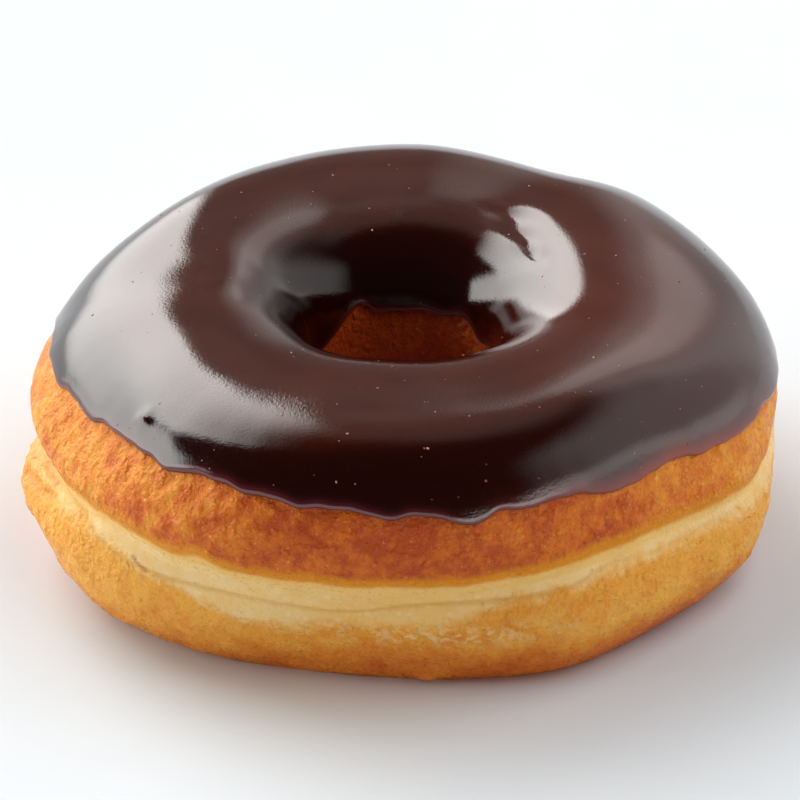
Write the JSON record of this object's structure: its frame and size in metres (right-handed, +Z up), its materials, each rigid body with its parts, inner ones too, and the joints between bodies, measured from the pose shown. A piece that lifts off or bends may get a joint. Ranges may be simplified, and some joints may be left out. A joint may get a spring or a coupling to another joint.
{
  "type": "chocolate iced doughnut",
  "caption": "Raised fried ring doughnut with a pale waist between two browned lobes and a glossy chocolate icing over its top and into its hole.",
  "frame": {"origin": "middle of the footprint, on the surface that the doughnut rests on", "axes": "+Z up through the hole, +X to the right and +Y to the back as seen from the side with the drip"},
  "size_m": [0.0964, 0.0914, 0.0363],
  "materials": {
    "crust": "fried golden brown crust, paler at the waist",
    "icing": "glossy dark chocolate icing"
  },
  "bodies": {
    "root": {"dough": "crust", "icing": "icing"}
  },
  "joints": []
}
